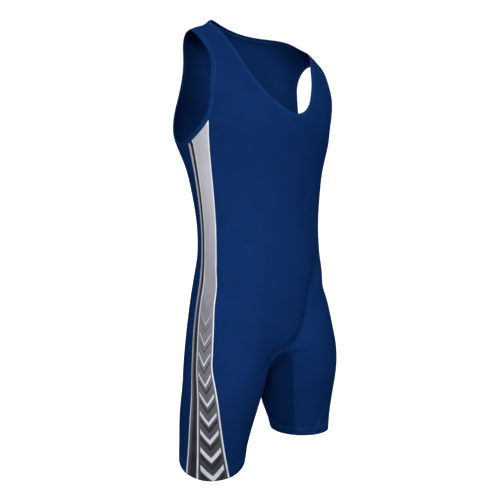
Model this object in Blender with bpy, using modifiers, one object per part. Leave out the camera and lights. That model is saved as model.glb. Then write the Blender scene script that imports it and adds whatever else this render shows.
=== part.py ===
"""A weightlifting singlet, filled out as it is worn, with nobody in it.

Metres, +Z up. The wearer faces -Y, so their right side is at -X. The origin is midway between
the two shoulder straps, at the height where they rest on the shoulders.
The cloth lies on a general figure: sections of a trunk and two legs, joined by a soft blend.
Every panel is a net of points on that figure, between the seams that a maker would cut to.
"""

from collections import namedtuple
from functools import partial

import bmesh
import bpy
import numpy as np

# Cloth sizes
CLOTH_WALL = 0.0016
BINDING_WALL = 0.0026
BINDING_WIDTH = 0.010
SEAM_GAP = 0.0004

# Heights of the cut
HEM_HEIGHT = -0.902
CROTCH_HEIGHT = -0.680
YOKE_HEIGHT = -0.285
RIGHT, LEFT = -1, 1

# The trunk, from the shoulders down to the seat, which is a bowl below the last row. Depths are
# measured from the section's own centre. A square of 2 is an ellipse, and more is squarer.
Trunk = namedtuple("Trunk", "height half_width front back centre_y front_square back_square")
TRUNK = (
    Trunk(0.060, 0.020, 0.020, 0.022, 0.050, 2.0, 2.0),
    Trunk(0.034, 0.098, 0.044, 0.042, 0.044, 2.0, 2.0),
    Trunk(0.000, 0.144, 0.060, 0.058, 0.040, 2.1, 2.1),
    Trunk(-0.010, 0.162, 0.062, 0.062, 0.036, 2.3, 2.2),
    Trunk(-0.025, 0.179, 0.060, 0.068, 0.030, 2.5, 2.4),
    Trunk(-0.055, 0.188, 0.062, 0.078, 0.021, 3.1, 2.6),
    Trunk(-0.100, 0.187, 0.080, 0.088, 0.018, 3.6, 2.6),
    Trunk(-0.145, 0.186, 0.107, 0.099, 0.022, 2.8, 2.7),
    Trunk(-0.195, 0.185, 0.142, 0.114, 0.032, 2.1, 2.9),
    Trunk(-0.235, 0.181, 0.141, 0.118, 0.034, 2.1, 2.8),
    Trunk(-0.270, 0.171, 0.134, 0.114, 0.034, 2.1, 2.3),
    Trunk(-0.340, 0.157, 0.117, 0.102, 0.026, 2.1, 2.1),
    Trunk(-0.430, 0.148, 0.103, 0.096, 0.016, 2.1, 2.1),
    Trunk(-0.510, 0.150, 0.105, 0.106, 0.012, 2.1, 2.1),
    Trunk(-0.570, 0.151, 0.105, 0.114, 0.012, 2.1, 2.1),
    Trunk(-0.620, 0.149, 0.098, 0.114, 0.010, 2.1, 2.1),
)
SEAT_DEPTH = 0.095
SEAT_SQUARE = 2.4

# A leg, from inside the seat to below the hem. Sizes are measured from the section's own centre.
Leg = namedtuple("Leg", "height centre_x centre_y outer inner front back")
LEG = (
    Leg(-0.500, 0.064, 0.010, 0.066, 0.060, 0.070, 0.085),
    Leg(-0.570, 0.078, 0.006, 0.078, 0.070, 0.082, 0.096),
    Leg(-0.630, 0.088, 0.002, 0.084, 0.080, 0.088, 0.102),
    Leg(-0.690, 0.096, -0.004, 0.088, 0.087, 0.088, 0.104),
    Leg(-0.750, 0.104, -0.002, 0.084, 0.090, 0.085, 0.097),
    Leg(-0.800, 0.110, 0.006, 0.080, 0.087, 0.078, 0.093),
    Leg(-0.850, 0.116, 0.013, 0.073, 0.080, 0.072, 0.084),
    Leg(-0.900, 0.121, 0.018, 0.068, 0.070, 0.069, 0.073),
    Leg(-0.960, 0.126, 0.022, 0.064, 0.066, 0.065, 0.068),
)
LEG_BLEND = 0.030

# How much higher than its middle each hem is at the front and at the outer side
Hem = namedtuple("Hem", "front_rise outer_rise")
HEMS = {RIGHT: Hem(-0.012, -0.004), LEFT: Hem(0.008, -0.008)}

# The largest folds, as soft troughs along a line near the surface of the wearer's left. The right
# has the same ones.
Fold = namedtuple("Fold", "x1 y1 z1 x2 y2 z2 width depth")
FOLDS = (
    Fold(0.148, -0.022, -0.533, 0.085, -0.095, -0.612, 0.021, 0.0060),
    Fold(0.085, -0.095, -0.612, 0.030, -0.092, -0.668, 0.018, 0.0040),
    Fold(0.040, 0.112, -0.700, 0.125, 0.090, -0.722, 0.022, 0.0030),
)

# Where the panels are sewn together, in degrees from straight ahead towards the outer side, seen
# from the axis of the trunk or of the leg. The right side panel sweeps further forward.
Seams = namedtuple("Seams", "height right_front left_front side_back inseam_front inseam_back")
SEAMS = (
    Seams(-0.180, 66.0, 71.0, 84.0, -50.0, 214.0),
    Seams(-0.285, 69.0, 74.0, 86.5, -50.0, 214.0),
    Seams(-0.365, 72.0, 76.0, 89.0, -50.0, 214.0),
    Seams(-0.465, 74.0, 78.0, 91.0, -50.0, 214.0),
    Seams(-0.565, 72.0, 77.0, 89.5, -50.0, 214.0),
    Seams(-0.625, 67.0, 75.0, 89.0, -50.0, 214.0),
    Seams(-0.665, 59.0, 72.0, 88.0, -50.0, 215.0),
    Seams(-0.700, 51.0, 68.0, 86.5, -50.0, 219.0),
    Seams(-0.745, 41.0, 64.0, 83.0, -50.0, 226.0),
    Seams(-0.790, 31.0, 61.0, 80.0, -50.0, 230.0),
    Seams(-0.850, 15.0, 58.0, 79.0, -50.0, 230.0),
    Seams(-0.910, -3.0, 56.0, 81.0, -50.0, 230.0),
)
SIDE_FRONT = {RIGHT: "right_front", LEFT: "left_front"}

# The openings, on the wearer's right. Each row is a point near the cloth's edge.
Edge = namedtuple("Edge", "x y z")
NECK_EDGE = (
    Edge(0.000, -0.113, -0.190),
    Edge(-0.038, -0.096, -0.170),
    Edge(-0.065, -0.081, -0.140),
    Edge(-0.086, -0.059, -0.100),
    Edge(-0.104, -0.027, -0.048),
    Edge(-0.118, 0.018, 0.000),
    Edge(-0.100, 0.052, 0.031),
    Edge(-0.060, 0.076, 0.037),
    Edge(0.000, 0.086, 0.036),
)
ARMHOLE_EDGE = (
    Edge(-0.174, 0.026, -0.018),
    Edge(-0.168, -0.022, -0.056),
    Edge(-0.163, -0.046, -0.100),
    Edge(-0.167, -0.047, -0.150),
    Edge(-0.172, -0.036, -0.200),
    Edge(-0.180, 0.005, -0.235),
    Edge(-0.182, 0.060, -0.246),
    Edge(-0.178, 0.088, -0.220),
    Edge(-0.175, 0.082, -0.165),
    Edge(-0.166, 0.074, -0.105),
    Edge(-0.164, 0.068, -0.040),
)
SHOULDER_SEAM_Y = 0.024
CHEST_CORNER_SHARE = 0.36

# How finely the nets are divided
LEG_ROWS = 11
LEG_ROW_CROWDING = 1.3
TRUNK_ROWS = 18
YOKE_SIDE_ROWS = 2
FRONT_ARMHOLE_ROWS = 13
BACK_ARMHOLE_ROWS = 11
FRONT_COLUMNS = 14
CHEST_COLUMNS = 6
CHEST_ROWS = 5
SIDE_COLUMNS = 4
BACK_COLUMNS = 14
UNDERARM_COLUMNS = 3
BACK_SHOULDER_COLUMNS = 4
CROTCH_COLUMNS = 8
BINDING_COLUMNS = 1
LOOP_SAMPLES = 360

BLUE = (0.0040, 0.0273, 0.1195, 1.0)
BLUE_BINDING = (0.0052, 0.0331, 0.1329, 1.0)
SILVER = (0.60, 0.60, 0.63, 1.0)


def spline(knots, values):
    """A natural cubic spline through the values, straight past its ends."""
    order = np.argsort(knots)
    x = np.asarray(knots, float)[order]
    y = np.asarray(values, float)[order]
    step = np.diff(x)
    slope = np.diff(y) / step
    matrix = np.eye(len(x))
    bend = np.zeros(len(x))
    for i in range(1, len(x) - 1):
        matrix[i, i - 1 : i + 2] = step[i - 1], 2 * (step[i - 1] + step[i]), step[i]
        bend[i] = 6 * (slope[i] - slope[i - 1])
    second = np.linalg.solve(matrix, bend)
    start = slope - step * (2 * second[:-1] + second[1:]) / 6
    low_slope = start[0]
    high_slope = slope[-1] + step[-1] * (second[-2] + 2 * second[-1]) / 6

    def at(places):
        inside = np.clip(places, x[0], x[-1])
        i = np.clip(np.searchsorted(x, inside) - 1, 0, len(step) - 1)
        t = inside - x[i]
        curve = y[i] + t * (start[i] + t * (second[i] / 2 + t * (second[i + 1] - second[i]) / (6 * step[i])))
        past = places - inside
        return curve + past * np.where(past < 0, low_slope, high_slope)

    return at


def columns_of(rows):
    """One spline over height for each named column of a table."""
    heights = [row.height for row in rows]
    return {name: spline(heights, [getattr(row, name) for row in rows]) for name in rows[0]._fields[1:]}


TRUNK_AT = columns_of(TRUNK)
LEG_AT = columns_of(LEG)
SEAM_AT = columns_of(SEAMS)


def fade(value, start, end):
    """0 at start and 1 at end, with a smooth rise between them."""
    t = np.clip((value - start) / (end - start), 0.0, 1.0)
    return t * t * (3 - 2 * t)


def soft_least(a, b, reach):
    """The lesser of a and b, rounded where they are within reach of each other."""
    share = np.clip(0.5 + 0.5 * (b - a) / reach, 0.0, 1.0)
    return b * (1 - share) + a * share - reach * share * (1 - share)


def section_ratio(across, ahead, width, depth, square=2.0):
    """1 on a section's outline, and less inside it."""
    width, depth = np.maximum(width, 0.003), np.maximum(depth, 0.003)
    ratio = (np.abs(across / width) ** square + np.abs(ahead / depth) ** square) ** (1 / square)
    return ratio, np.minimum(width, depth)


def outside_trunk(points):
    """How far points are outside the trunk, nearly in metres. Inside it is negative."""
    x, y, z = np.moveaxis(points, -1, 0)
    at = {name: table(np.maximum(z, TRUNK[-1].height)) for name, table in TRUNK_AT.items()}
    ahead = y - at["centre_y"]
    depth = np.where(ahead < 0, at["front"], at["back"])
    square = np.where(ahead < 0, at["front_square"], at["back_square"])
    ratio, scale = section_ratio(x, ahead, at["half_width"], depth, square)
    below = np.maximum(TRUNK[-1].height - z, 0.0) / SEAT_DEPTH
    return ((ratio**SEAT_SQUARE + below**SEAT_SQUARE) ** (1 / SEAT_SQUARE) - 1) * scale


def outside_leg(points, side):
    """How far points are outside one leg, nearly in metres."""
    x, y, z = np.moveaxis(points, -1, 0)
    at = {name: table(z) for name, table in LEG_AT.items()}
    across = side * x - at["centre_x"]
    ahead = y - at["centre_y"]
    width = np.where(across > 0, at["outer"], at["inner"])
    ratio, scale = section_ratio(across, ahead, width, np.where(ahead < 0, at["front"], at["back"]))
    return (ratio - 1) * scale + np.maximum(z - LEG[0].height, 0.0)


def fold_depth(points):
    """How far the folds press the cloth in."""
    place = np.stack([np.abs(points[..., 0]), points[..., 1], points[..., 2]], axis=-1)
    depth = 0.0
    for fold in FOLDS:
        start, end = np.array(fold[0:3]), np.array(fold[3:6])
        along = np.clip((place - start) @ (end - start) / np.dot(end - start, end - start), 0.0, 1.0)
        apart = np.linalg.norm(place - start - along[..., None] * (end - start), axis=-1)
        depth = np.maximum(depth, fold.depth * np.exp(-((apart / fold.width) ** 2)))
    return depth


def outside(points):
    """How far points are outside the whole figure."""
    legs = soft_least(outside_leg(points, RIGHT), outside_leg(points, LEFT), LEG_BLEND)
    return soft_least(outside_trunk(points), legs, LEG_BLEND) + fold_depth(points)


def cast(origin, direction, side=0, reach=0.45, halvings=26):
    """Where a line from inside the figure comes out of it, or out of one side's half of it."""
    origin = np.asarray(origin, float)
    direction = direction / np.linalg.norm(direction, axis=-1, keepdims=True)
    near = np.zeros(direction.shape[:-1])
    far = np.full(direction.shape[:-1], reach)
    for _ in range(halvings):
        middle = (near + far) / 2
        point = origin + direction * middle[..., None]
        within = (outside(point) < 0) & (point[..., 0] * side >= 0)
        near = np.where(within, middle, near)
        far = np.where(within, far, middle)
    return origin + direction * near[..., None]


def normals(points, step=0.0015):
    """The outward normals of the figure."""
    slopes = [outside(points + step * axis) - outside(points - step * axis) for axis in np.eye(3)]
    slopes = np.stack(slopes, axis=-1)
    return slopes / np.linalg.norm(slopes, axis=-1, keepdims=True)


def heading(degrees, side):
    """A level direction, in degrees from straight ahead towards the outer side."""
    angle = np.radians(degrees)
    return np.stack(np.broadcast_arrays(side * np.sin(angle), -np.cos(angle), 0.0), axis=-1)


def bearing(vector, side):
    """The degrees that heading() would need for this vector."""
    return np.degrees(np.arctan2(side * vector[..., 0], -vector[..., 1]))


def trunk_axis(z):
    z = np.asarray(z, float)
    return np.stack([np.zeros_like(z), TRUNK_AT["centre_y"](z), z], axis=-1)


def leg_axis(z, side):
    z = np.asarray(z, float)
    return np.stack([side * LEG_AT["centre_x"](z), LEG_AT["centre_y"](z), z], axis=-1)


def axis(z, side):
    """The line that the nets are cast from: the trunk's axis, which runs over into a leg's."""
    share = fade(-np.asarray(z, float), 0.580, 0.700)[..., None]
    return trunk_axis(z) * (1 - share) + leg_axis(z, side) * share


def centre_point(z, back=False):
    """A point on the middle line of the front, or of the back."""
    return cast(trunk_axis(z), heading(180.0 if back else 0.0, RIGHT))


def seam_angles(z, side):
    """The angles of the front, side and back seams at one height, about axis()."""
    front, back = SEAM_AT["inseam_front"](z), SEAM_AT["inseam_back"](z)
    if z >= CROTCH_HEIGHT:
        front, back = (bearing(centre_point(z, end) - axis(z, side), side) for end in (False, True))
        back = back % 360
    return front, SEAM_AT[SIDE_FRONT[side]](z), SEAM_AT["side_back"](z), back


def hem_offset(degrees, z, side):
    """How far a leg's row is tilted, which fades out at the crotch."""
    share = 1 - fade(z, HEM_HEIGHT, CROTCH_HEIGHT)
    angle = np.radians(degrees)
    hem = HEMS[side]
    return share * (hem.front_rise * np.cos(angle) + hem.outer_rise * np.sin(angle))


def level_row(z, degrees, side, sag=0.0):
    """Points on the figure at about one height and the given angles."""
    heights = z + hem_offset(degrees, z, side) - sag
    return cast(axis(heights, side), heading(degrees, side), side)


def leg_heights():
    """The heights of a leg's rows, from the hem up, which crowd together towards the crotch."""
    below = (1 - np.linspace(0, 1, LEG_ROWS + 1)) ** LEG_ROW_CROWDING
    return CROTCH_HEIGHT - below * (CROTCH_HEIGHT - HEM_HEIGHT)


def row_heights():
    trunk = np.linspace(CROTCH_HEIGHT, YOKE_HEIGHT, TRUNK_ROWS + 1)
    return np.concatenate([leg_heights(), trunk[1:]])


def cut_angles(z, side):
    """The first and last angle of the front, side panel, back and crotch panel in one row."""
    seams = np.array(seam_angles(z, side))
    reach = np.linalg.norm(level_row(z, seams, side) - axis(z, side), axis=-1)
    half_gap = np.degrees(SEAM_GAP / 2 / reach)
    if z >= CROTCH_HEIGHT:
        half_gap[[0, -1]] = 0.0
    after, before = seams + half_gap, seams - half_gap
    crotch = (before[0], after[3] - 360)
    return (after[0], before[1]), (after[1], before[2]), (after[2], before[3]), crotch


def lower_nets(side):
    """The nets of the front, side panel and back below the yoke, each as rows from the hem up."""
    nets = ([], [], [])
    counts = (FRONT_COLUMNS, SIDE_COLUMNS, BACK_COLUMNS)
    for z in row_heights():
        for net, ends, count in zip(nets, cut_angles(z, side), counts):
            net.append(level_row(z, np.linspace(*ends, count + 1), side))
    return [np.array(net) for net in nets]


def closed_spline(points):
    """A smooth closed curve through the points, evenly sampled."""
    wrap = 4
    padded = np.concatenate([points[-wrap:], points, points[:wrap]])
    knots = np.arange(len(padded)) - wrap
    fine = np.linspace(0, len(points), 4 * LOOP_SAMPLES + 1)
    curve = np.stack([spline(knots, padded[:, k])(fine) for k in range(3)], axis=-1)
    along = np.concatenate([[0.0], np.cumsum(np.linalg.norm(np.diff(curve, axis=0), axis=1))])
    places = np.linspace(0, along[-1], LOOP_SAMPLES, endpoint=False)
    return np.stack([np.interp(places, along, curve[:, k]) for k in range(3)], axis=-1)


def chest_origin(points):
    """The point inside the chest that the yoke and its edges are cast from."""
    height = -0.150 - 0.5 * np.maximum(-0.150 - points[..., 2], 0.0)
    return trunk_axis(height)


def onto_chest(points):
    origin = chest_origin(points)
    return cast(origin, points - origin)


def mirrored(points):
    return points * np.array([-1.0, 1.0, 1.0])


def loop_offset(loop, distance):
    """A closed curve on the figure, moved sideways over its surface, to its left seen from outside."""
    ahead = np.roll(loop, -1, axis=0) - np.roll(loop, 1, axis=0)
    sideways = np.cross(normals(loop), ahead)
    sideways /= np.linalg.norm(sideways, axis=1, keepdims=True)
    return onto_chest(loop + distance * sideways)


def neck_loop(distance):
    """A closed curve this far below the neck's edge, from the front's middle over the right strap."""
    half = np.array(NECK_EDGE)
    return loop_offset(onto_chest(closed_spline(np.concatenate([half, mirrored(half[-2:0:-1])]))), distance)


def armhole_loop(side, distance):
    """A closed curve this far outside an armhole's edge, from the shoulder down its front."""
    loop = loop_offset(onto_chest(closed_spline(np.array(ARMHOLE_EDGE))), distance)
    return loop if side == RIGHT else mirrored(loop)


def along(loop, places):
    """Points of a closed curve at places that are counted in its samples."""
    closed = np.concatenate([loop, loop[:1]])
    return np.stack([np.interp(places, np.arange(len(closed)), closed[:, k]) for k in range(3)], axis=-1)


def drawn_in(places, loop, first=True, last=True):
    """The same places, with its ends moved in by half a seam gap."""
    sample = np.mean(np.linalg.norm(np.roll(loop, -1, axis=0) - loop, axis=1))
    gap = np.sign(places[-1] - places[0]) * SEAM_GAP / 2 / sample
    places = places.copy()
    places[0] += gap * first
    places[-1] -= gap * last
    return places


def straight(start, end, count):
    """A line over the chest between two points on it."""
    line = onto_chest(np.linspace(start, end, count + 1))
    line[0], line[-1] = start, end
    return line


def coons(bottom, top, left, right):
    """The net that fills four lines: bottom and top by columns, left and right by rows."""
    u = np.linspace(0, 1, len(bottom))[None, :, None]
    v = np.linspace(0, 1, len(left))[:, None, None]
    ruled = (1 - v) * bottom[None] + v * top[None] + (1 - u) * left[:, None] + u * right[:, None]
    corners = (1 - u) * (1 - v) * bottom[0] + u * (1 - v) * bottom[-1]
    corners = corners + (1 - u) * v * top[0] + u * v * top[-1]
    return ruled - corners


def filled(bottom, top, left, right):
    """A net on the chest between four lines that already lie on it."""
    net = coons(bottom, top, left, right)
    net[1:-1, 1:-1] = onto_chest(net[1:-1, 1:-1])
    return net


def neck_places():
    """Where the points of the chest, the front strap and the back lie along the neck's right half."""
    loop = neck_loop(BINDING_WIDTH)
    strap = (loop[:, 0] < -0.08) & (loop[:, 2] > -0.04)
    top = np.argmin(np.where(strap, np.abs(loop[:, 1] - SHOULDER_SEAM_Y), 1e3))
    corner = CHEST_CORNER_SHARE * top
    chest = np.linspace(0, corner, CHEST_COLUMNS + 1)
    strap = np.linspace(corner, top, YOKE_SIDE_ROWS + FRONT_ARMHOLE_ROWS - CHEST_ROWS + 1)
    back = np.linspace(top, LOOP_SAMPLES / 2, BACK_COLUMNS - UNDERARM_COLUMNS - BACK_SHOULDER_COLUMNS + 1)
    return chest, strap, back


def armhole_places(side):
    """Where the points of the front, the side panel, and the back below and behind lie along it."""
    loop = armhole_loop(side, BINDING_WIDTH)
    z = loop[:, 2]
    angles = bearing(loop - trunk_axis(z), side)
    seams = [np.abs(angles - SEAM_AT[name](z)) for name in (SIDE_FRONT[side], "side_back")]
    under_front, under_back = (np.argmin(np.where(z < -0.150, miss, 1e3)) for miss in seams)
    corner = np.argmax(loop[:, 1] - z)
    front = np.linspace(0, under_front, FRONT_ARMHOLE_ROWS + 1)
    under = np.linspace(under_front, under_back, SIDE_COLUMNS + 1)
    underarm = np.linspace(under_back, corner, UNDERARM_COLUMNS + 1)
    back = np.linspace(corner, LOOP_SAMPLES, BACK_ARMHOLE_ROWS + 1)
    return front, under, underarm, back


def yoke_nets(side, lower):
    """The nets above the yoke height: two for the front, the side panel, and two for the back."""
    base_front, base_side, base_back = (net[-1] for net in lower)
    neck = neck_loop(BINDING_WIDTH + SEAM_GAP)
    if side == LEFT:
        neck = mirrored(neck)
    hole = armhole_loop(side, BINDING_WIDTH + SEAM_GAP)
    at_front, at_under, at_underarm, at_back = armhole_places(side)
    neck_chest, neck_strap, neck_back = neck_places()

    neck_chest = along(neck, neck_chest)
    to_neck = straight(base_front[CHEST_COLUMNS], neck_chest[-1], CHEST_ROWS)
    chest = filled(
        base_front[: CHEST_COLUMNS + 1],
        neck_chest,
        straight(base_front[0], neck_chest[0], CHEST_ROWS),
        to_neck,
    )
    neck_strap = along(neck, drawn_in(neck_strap, neck, first=False))
    hole_front = along(hole, drawn_in(at_front, hole))[::-1]
    strap = filled(
        base_front[CHEST_COLUMNS:],
        straight(neck_strap[-1], hole_front[-1], FRONT_COLUMNS - CHEST_COLUMNS),
        np.concatenate([to_neck, neck_strap[1:]]),
        np.concatenate([straight(base_front[-1], hole_front[0], YOKE_SIDE_ROWS), hole_front[1:]]),
    )
    under = along(hole, drawn_in(at_under, hole))
    panel = filled(
        base_side,
        under,
        straight(base_side[0], under[0], YOKE_SIDE_ROWS),
        straight(base_side[-1], under[-1], YOKE_SIDE_ROWS),
    )
    under = along(hole, drawn_in(at_underarm, hole, last=False))
    to_corner = straight(base_back[UNDERARM_COLUMNS], under[-1], YOKE_SIDE_ROWS)
    underarm = filled(
        base_back[: UNDERARM_COLUMNS + 1],
        under,
        straight(base_back[0], under[0], YOKE_SIDE_ROWS),
        to_corner,
    )
    neck_back = along(neck, drawn_in(neck_back, neck, last=False))
    hole_back = along(hole, drawn_in(at_back, hole, first=False))
    back = filled(
        base_back[UNDERARM_COLUMNS:],
        np.concatenate([straight(hole_back[-1], neck_back[0], BACK_SHOULDER_COLUMNS)[:-1], neck_back]),
        np.concatenate([to_corner, hole_back[1:]]),
        straight(base_back[-1], neck_back[-1], YOKE_SIDE_ROWS + BACK_ARMHOLE_ROWS),
    )
    return chest, strap, panel, underarm, back


def crotch_half(side):
    """The crotch panel's net on one leg, as rows from the hem up to the middle of the crotch."""
    across = np.linspace(0, 1, CROTCH_COLUMNS + 1)
    pelvis = trunk_axis(TRUNK[-1].height)
    ends = np.array([centre_point(CROTCH_HEIGHT, end) - pelvis for end in (False, True)])
    gap = SEAM_GAP / np.linalg.norm(ends, axis=1) * np.array([1.0, -1.0])
    fan = np.interp(across, (0, 1), np.arctan2(ends[:, 1], -ends[:, 2]) + gap)
    arch = cast(pelvis, np.stack([0 * fan, np.sin(fan), -np.cos(fan)], axis=-1))
    sag = CROTCH_HEIGHT - arch[:, 2]
    net = []
    for z in leg_heights()[:-1]:
        degrees = np.linspace(*cut_angles(z, side)[3], CROTCH_COLUMNS + 1)
        net.append(level_row(z, degrees, side, sag * fade(z, CROTCH_HEIGHT - 0.150, CROTCH_HEIGHT)))
    return np.array([*net, arch])


def cloth(name, nets, wall, material, collection, parent):
    """One piece of cloth: nets joined along the edges that they share, given a wall."""
    form = bmesh.new()
    for net in nets:
        rows, columns = net.shape[:2]
        made = bmesh.ops.create_grid(form, x_segments=columns - 1, y_segments=rows - 1, size=0.5)
        for vertex, place in zip(made["verts"], net.reshape(-1, 3)):
            vertex.co = place
    bmesh.ops.remove_doubles(form, verts=form.verts, dist=0.00002)
    bmesh.ops.recalc_face_normals(form, faces=form.faces)
    mesh = bpy.data.meshes.new(name)
    form.to_mesh(mesh)
    form.free()
    mesh.materials.append(material)
    mesh.shade_smooth()
    piece = bpy.data.objects.new(name, mesh)
    wall_maker = piece.modifiers.new("wall", "SOLIDIFY")
    wall_maker.thickness = wall
    wall_maker.offset = 0.0
    collection.objects.link(piece)
    piece.parent = parent
    return piece


def binding_net(loop_at, places):
    """A strip round an opening, from the line where it is sewn on to the cloth's free edge."""
    widths = np.linspace(BINDING_WIDTH, 0.0, BINDING_COLUMNS + 1)
    return np.array([along(loop_at(width), places) for width in widths])


def armhole_binding_net(side):
    front, under, underarm, back = armhole_places(side)
    places = np.concatenate([front, under[1:], underarm[1:], back[1:]])
    return binding_net(partial(armhole_loop, side), places)


def neck_binding_net():
    chest, strap, back = neck_places()
    half = np.concatenate([chest, strap[1:], back[1:]])
    return binding_net(neck_loop, np.concatenate([half, (LOOP_SAMPLES - half[::-1])[1:]]))


def material_of(name, colour, roughness):
    material = bpy.data.materials.new(name)
    material.use_nodes = True
    shader = material.node_tree.nodes["Principled BSDF"]
    shader.inputs["Base Color"].default_value = colour
    shader.inputs["Roughness"].default_value = roughness
    shader.inputs["Metallic"].default_value = 0.0
    return material


def build():
    for thing in list(bpy.data.objects):
        bpy.data.objects.remove(thing)
    collection = bpy.data.collections.new("singlet")
    bpy.context.scene.collection.children.link(collection)
    parent = bpy.data.objects.new("singlet_origin", None)
    collection.objects.link(parent)
    blue = material_of("blue_stretch_knit", BLUE, 0.5)
    trim = material_of("blue_binding", BLUE_BINDING, 0.5)
    print_cloth = material_of("printed_side", SILVER, 0.5)

    fronts, backs, crotches = [], [], []
    for side, word in ((RIGHT, "right"), (LEFT, "left")):
        lower = lower_nets(side)
        chest, strap, panel, underarm, back = yoke_nets(side, lower)
        fronts += [lower[0], chest, strap]
        backs += [lower[2], underarm, back]
        crotches.append(crotch_half(side))
        panel = np.concatenate([lower[1], panel[1:]])
        cloth(f"side_panel_{word}", [panel], CLOTH_WALL, print_cloth, collection, parent)
        hole = armhole_binding_net(side)
        cloth(f"armhole_binding_{word}", [hole], BINDING_WALL, trim, collection, parent)
    cloth("front", fronts, CLOTH_WALL, blue, collection, parent)
    cloth("back", backs, CLOTH_WALL, blue, collection, parent)
    cloth("crotch_panel", crotches, CLOTH_WALL, blue, collection, parent)
    cloth("neck_binding", [neck_binding_net()], BINDING_WALL, trim, collection, parent)


build()
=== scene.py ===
"""The looks of a weightlifting singlet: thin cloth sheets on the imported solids, with seams, folds,
bound edges, stitches and a printed side, on a plain pale stage.

Metres, +Z up. The wearer faces -Y, so their right side is at -X.
"""

import math

import bmesh
import bpy
from bpy.props import FloatProperty, FloatVectorProperty, IntProperty, PointerProperty, StringProperty
from mathutils import Matrix, Vector
from mathutils.bvhtree import BVHTree
from mathutils.kdtree import KDTree


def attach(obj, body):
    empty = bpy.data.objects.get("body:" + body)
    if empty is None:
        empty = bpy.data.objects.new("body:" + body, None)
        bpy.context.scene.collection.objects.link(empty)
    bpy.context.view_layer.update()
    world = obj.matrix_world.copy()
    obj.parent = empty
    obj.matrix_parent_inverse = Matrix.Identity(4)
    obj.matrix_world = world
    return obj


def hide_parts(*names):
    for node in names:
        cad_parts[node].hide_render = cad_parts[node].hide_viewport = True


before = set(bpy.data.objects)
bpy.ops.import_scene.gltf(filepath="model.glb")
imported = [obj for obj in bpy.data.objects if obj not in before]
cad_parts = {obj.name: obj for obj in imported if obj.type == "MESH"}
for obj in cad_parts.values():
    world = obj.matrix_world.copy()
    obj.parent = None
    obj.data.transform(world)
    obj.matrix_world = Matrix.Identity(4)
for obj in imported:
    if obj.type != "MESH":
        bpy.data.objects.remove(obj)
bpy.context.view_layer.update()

bl_info = {
    "name": "Weightlifting singlet",
    "version": (1, 0, 0),
    "blender": (4, 5, 0),
    "location": "View3D > Sidebar > Singlet",
    "description": "Dresses the frame of a singlet with cloth, bound edges, stitches and a print",
    "category": "Object",
}

WELD = 0.00002  # points nearer than this are one
RIM_ANGLE = math.radians(62)  # a wall turns by more than this at its rims
CORNER_ANGLE = math.radians(55)  # a sheet's edge turns by more than this at a corner
SEAM_REACH = 0.0016  # an edge is sewn to the nodes that lie nearer than this
SEAM_PULL = 0.006  # how far from a seam the cloth is drawn along with it
SEAM_OVERLAP = 0.00016  # how far a sheet passes the middle of its seam
EDGE_ROUND = 0.0002
LEG_TOP = -0.80  # a free edge below this height is a hem
LEG_X = 0.12  # a leg's middle at the hem, across the body
LEG_Y = 0.018  # the same, from front to back
PRINT_LENGTH = 0.70
RUNG_PITCH = 0.038
PHOTO_SIZE = 500  # pixels
SENSOR = 36.0  # mm
MATH = "ShaderNodeMath"
PANELS = ("front", "back", "crotch_panel", "side_panel_right", "side_panel_left")
BINDINGS = ("neck_binding", "armhole_binding_right", "armhole_binding_left")

# What each piece is cut to before it is stretched on: the width and length of its box, and its area.
# The cloth is worn about a twentieth wider than it is cut, and the bands are cut a tenth short.
CUTS = {
    "front": (0.393, 0.953, 0.252),
    "back": (0.526, 0.968, 0.374),
    "crotch_panel": (0.254, 0.364, 0.0478),
    "side_panel_right": (0.090, 0.714, 0.037),
    "side_panel_left": (0.051, 0.683, 0.0211),
    "neck_binding": (0.011, 0.82, 0.009),
    "armhole_binding_right": (0.011, 0.56, 0.0061),
    "armhole_binding_left": (0.011, 0.56, 0.0061),
}

# The lamps: where each stands, the point that it is aimed at, and its width.
LAMPS = {
    "key": ((-1.58, -1.70, -0.15), (0.0, 0.0, -0.58), 0.9),
    "top": ((-0.3, -1.5, 1.25), (0.0, 0.0, -0.2), 1.2),
    "rear": ((0.7, 1.9, 1.1), (0.0, 0.0, -0.45), 1.1),
}


class ClothSettings(bpy.types.PropertyGroup):
    """Sizes and colours of the cloth."""

    wall: FloatProperty(
        name="Cloth thickness", description="One layer of the knit", default=0.0008, unit="LENGTH"
    )
    band_wall: FloatProperty(
        name="Band thickness", description="A folded band, sewn on", default=0.0021, unit="LENGTH"
    )
    edge_row: FloatProperty(
        name="Edge row", description="Width of the row of faces along an edge", default=0.0034, unit="LENGTH"
    )
    hem_depth: FloatProperty(
        name="Hem depth", description="How much of each leg is turned up", default=0.020, unit="LENGTH"
    )
    groove_width: FloatProperty(
        name="Seam width", description="How far from a seam the cloth dips", default=0.0034, unit="LENGTH"
    )
    groove_depth: FloatProperty(
        name="Seam depth", description="How far the cloth dips at a seam", default=0.0008, unit="LENGTH"
    )
    crown: FloatProperty(
        name="Band crown", description="How far a band bulges", default=0.0005, unit="LENGTH"
    )
    fold_share: FloatProperty(
        name="Fold depth", description="1 is the depth in the tables", default=1.0, subtype="FACTOR"
    )
    blue: StringProperty(name="Cloth", description="sRGB hex of the dyed knit", default="#081f45")
    gusset: StringProperty(
        name="Gusset", description="sRGB hex of the crotch panel's knit", default="#041737"
    )
    band: StringProperty(name="Band", description="sRGB hex of the bands", default="#092249")
    silver: StringProperty(name="Print, top", description="sRGB hex at the underarm", default="#929297")
    grey: StringProperty(name="Print, middle", description="sRGB hex at the hip", default="#5e5c62")
    charcoal: StringProperty(name="Print, hem", description="sRGB hex at the hem", default="#2b2c31")


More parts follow.
